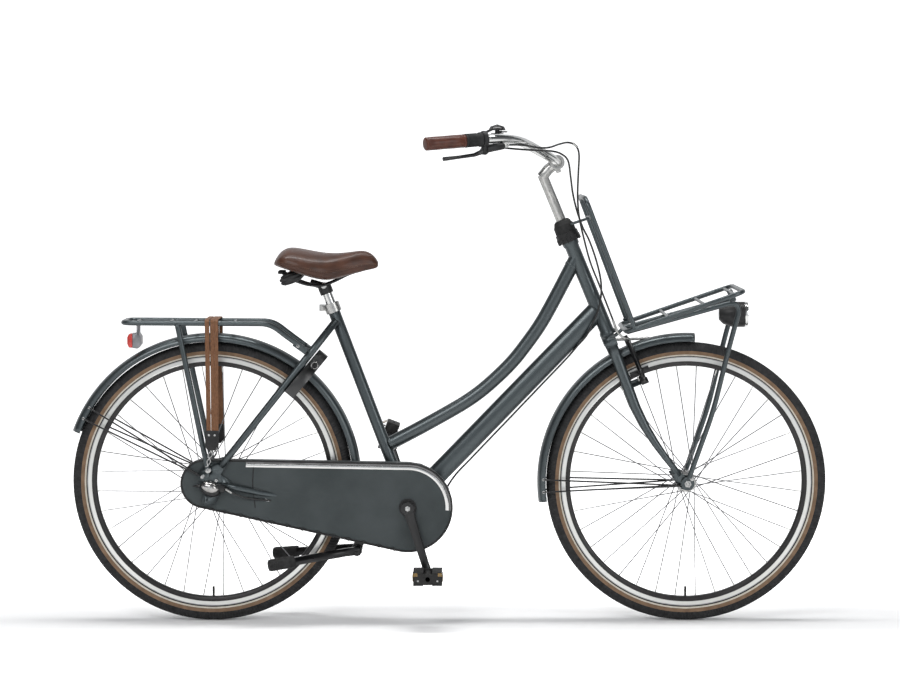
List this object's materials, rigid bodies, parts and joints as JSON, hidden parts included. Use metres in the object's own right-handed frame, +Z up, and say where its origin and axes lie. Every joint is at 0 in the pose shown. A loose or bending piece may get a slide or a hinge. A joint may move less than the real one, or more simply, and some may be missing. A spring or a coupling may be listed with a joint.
{
  "type": "dutch city bike",
  "caption": "Upright city bike with a swan-neck frame, enclosed chain, racks front and rear, mudguards, lamps, ring lock, stand, steering fork and laced wheels.",
  "frame": {"origin": "on the ground, midway between the two wheel axles and in the wheels' plane", "axes": "+X forward, +Y to the rider's left, +Z up"},
  "size_m": [1.901, 0.6332, 1.2546],
  "materials": {
    "frame_paint": "satin dark slate",
    "black_paint": "satin black",
    "silver_metal": "satin",
    "steel": "machined",
    "chrome": "polished",
    "case_cover": "soft cloth-like cover",
    "black_plastic": "matt",
    "cable_black": "smooth",
    "tyre_rubber": "matt black tread, brown and cream side bands",
    "tube_rubber": "matt",
    "pedal_rubber": "matt",
    "brown_leather": "brown, lightly grained",
    "brown_strap": "brown elastic band",
    "red_lens": "clear red",
    "clear_lens": "clear, with a reflector behind"
  },
  "bodies": {
    "frame": {"head_tube": "frame_paint", "seat_tube": "frame_paint", "down_tube": "frame_paint", "top_tube": "frame_paint", "rear_stays_right": "frame_paint", "rear_stays_left": "frame_paint", "bottom_bracket": "steel", "rear_axle": "steel", "shift_box": "silver_metal", "chain": "steel", "chain_case": "case_cover", "chain_case_trim": "chrome", "rear_mudguard": "frame_paint", "rear_rack": "frame_paint", "luggage_straps": "brown_strap", "tail_light_housing": "black_plastic", "tail_light_lens": "red_lens", "ring_lock_body": "black_plastic", "stand_bracket": "black_paint", "seat_clamp": "silver_metal", "shift_cable": "cable_black"},
    "saddle": {"seat_post": "chrome", "saddle": "brown_leather", "saddle_frame": "black_plastic"},
    "crank": {"crank_spindle": "steel", "crank_right": "black_paint", "crank_left": "black_paint"},
    "pedal_right": {"pedal_right": "pedal_rubber"},
    "pedal_left": {"pedal_left": "pedal_rubber"},
    "sprocket": {"rear_sprocket": "steel"},
    "rear_wheel": {"rear_hub": "silver_metal", "rear_rim": "silver_metal", "rear_tyre": "tyre_rubber", "rear_inner_tube": "tube_rubber"},
    "stand": {"stand_legs": "black_paint"},
    "lock_shackle": {"ring_lock_shackle": "steel"},
    "lock_key": {"ring_lock_key": "black_plastic"},
    "steering": {"fork": "frame_paint", "headset_top": "black_plastic", "stem": "silver_metal", "handlebar": "chrome", "grip_right": "brown_leather", "grip_left": "brown_leather", "brake_perch": "black_plastic", "bell": "black_plastic", "front_rack": "frame_paint", "front_axle": "steel", "front_mudguard": "frame_paint", "brake_cable": "cable_black"},
    "front_wheel": {"front_hub": "silver_metal", "front_rim": "silver_metal", "front_tyre": "tyre_rubber", "front_inner_tube": "tube_rubber"},
    "shifter": {"shifter_sleeve": "black_plastic"},
    "brake_lever": {"brake_lever": "black_plastic"},
    "bell_lever": {"bell_lever": "black_plastic"},
    "brake_arm_right": {"brake_arm_right": "black_plastic"},
    "brake_arm_left": {"brake_arm_left": "black_plastic"},
    "lamp": {"lamp_body": "black_plastic", "lamp_lens": "clear_lens"}
  },
  "joints": [
    {"name": "steering_turn", "type": "hinge", "parent": "frame", "child": "steering", "pos_m": [0.39751, 0, 0.73118], "axis": [-0.3843, 0, 0.9232], "range_deg": [-60, 60], "deforming": ["shift_cable"]},
    {"name": "front_wheel_spin", "type": "hinge", "parent": "steering", "child": "front_wheel", "pos_m": [0.5975, 0, 0.353], "axis": [0, 1, 0], "continuous": true},
    {"name": "rear_wheel_spin", "type": "hinge", "parent": "frame", "child": "rear_wheel", "pos_m": [-0.5975, 0, 0.353], "axis": [0, 1, 0], "continuous": true},
    {"name": "crank_spin", "type": "hinge", "parent": "frame", "child": "crank", "pos_m": [-0.1045, 0, 0.293], "axis": [0, 1, 0], "continuous": true},
    {"name": "sprocket_spin", "type": "hinge", "parent": "frame", "child": "sprocket", "pos_m": [-0.5975, 0, 0.353], "axis": [0, 1, 0], "continuous": true},
    {"name": "pedal_right_spin", "type": "hinge", "parent": "crank", "child": "pedal_right", "pos_m": [-0.05366, -0.139, 0.13078], "axis": [0, 1, 0], "continuous": true},
    {"name": "pedal_left_spin", "type": "hinge", "parent": "crank", "child": "pedal_left", "pos_m": [-0.15534, 0.139, 0.45522], "axis": [0, 1, 0], "continuous": true},
    {"name": "stand_fold", "type": "hinge", "parent": "frame", "child": "stand", "pos_m": [-0.233, 0, 0.18], "axis": [0, 1, 0], "range_deg": [-92, 0]},
    {"name": "saddle_height", "type": "slide", "parent": "frame", "child": "saddle", "axis": [-0.3551, 0, 0.9348], "range_m": [-0.02, 0.08]},
    {"name": "lock_close", "type": "hinge", "parent": "frame", "child": "lock_shackle", "pos_m": [-0.3759, 0, 0.60698], "axis": [-0.766, 0, 0.6428], "range_deg": [0, 120]},
    {"name": "lock_key_turn", "type": "hinge", "parent": "frame", "child": "lock_key", "pos_m": [-0.33709, -0.05, 0.65012], "axis": [0, 1, 0], "range_deg": [0, 90]},
    {"name": "shifter_twist", "type": "hinge", "parent": "steering", "child": "shifter", "pos_m": [0.05566, -0.25373, 1.21167], "axis": [-0.9183, -0.3884, -0.0769], "range_deg": [0, 75]},
    {"name": "brake_lever_pull", "type": "hinge", "parent": "steering", "child": "brake_lever", "pos_m": [0.08455, -0.24151, 1.186], "axis": [0.3895, -0.921, 0], "range_deg": [0, 20], "stiffness_Nm_per_rad": 1.5, "springref_deg": -11.46},
    {"name": "bell_ring", "type": "hinge", "parent": "steering", "child": "bell_lever", "pos_m": [0.13226, 0.20814, 1.23783], "axis": [0, 0, 1], "range_deg": [0, 20], "stiffness_Nm_per_rad": 0.05, "springref_deg": -5.73},
    {"name": "brake_arm_right_turn", "type": "hinge", "parent": "steering", "child": "brake_arm_right", "pos_m": [0.47246, -0.04, 0.60316], "axis": [0.9232, 0, 0.3843], "range_deg": [-4, 0]},
    {"name": "brake_arm_left_turn", "type": "hinge", "parent": "steering", "child": "brake_arm_left", "pos_m": [0.47246, 0.04, 0.60316], "axis": [0.9232, 0, 0.3843], "range_deg": [0, 4]},
    {"name": "lamp_tilt", "type": "hinge", "parent": "steering", "child": "lamp", "pos_m": [0.71346, 0, 0.81396], "axis": [0, 1, 0], "range_deg": [-8, 8]}
  ],
  "couplings": [
    {"joint": "sprocket_spin", "follows": "crank_spin", "ratio": 2},
    {"joint": "brake_arm_right_turn", "follows": "brake_lever_pull", "ratio": -0.2},
    {"joint": "brake_arm_left_turn", "follows": "brake_lever_pull", "ratio": 0.2}
  ]
}
